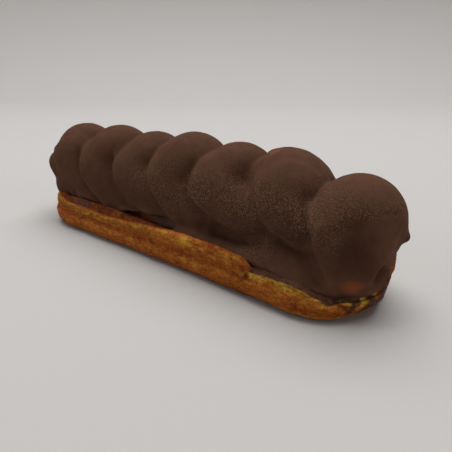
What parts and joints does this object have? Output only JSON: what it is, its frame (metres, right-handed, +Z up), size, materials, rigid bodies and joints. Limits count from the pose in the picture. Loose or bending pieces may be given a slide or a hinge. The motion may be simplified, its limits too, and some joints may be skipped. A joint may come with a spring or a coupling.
{
  "type": "chocolate-topped eclair",
  "caption": "Long choux pastry base with rounded ends, carrying a rope-piped topping coated in milk chocolate.",
  "frame": {"origin": "under the middle of the whole eclair, on the surface it rests on", "axes": "+X along the length towards the end with the tall last dome, +Z up"},
  "size_m": [0.1502, 0.0418, 0.042],
  "materials": {
    "choux": "matt baked pastry, golden on the ridges and brown in the grooves",
    "chocolate": "satin milk chocolate with a fine dull bloom"
  },
  "bodies": {
    "root": {"choux_base": "choux", "piped_topping": "chocolate"}
  },
  "joints": []
}
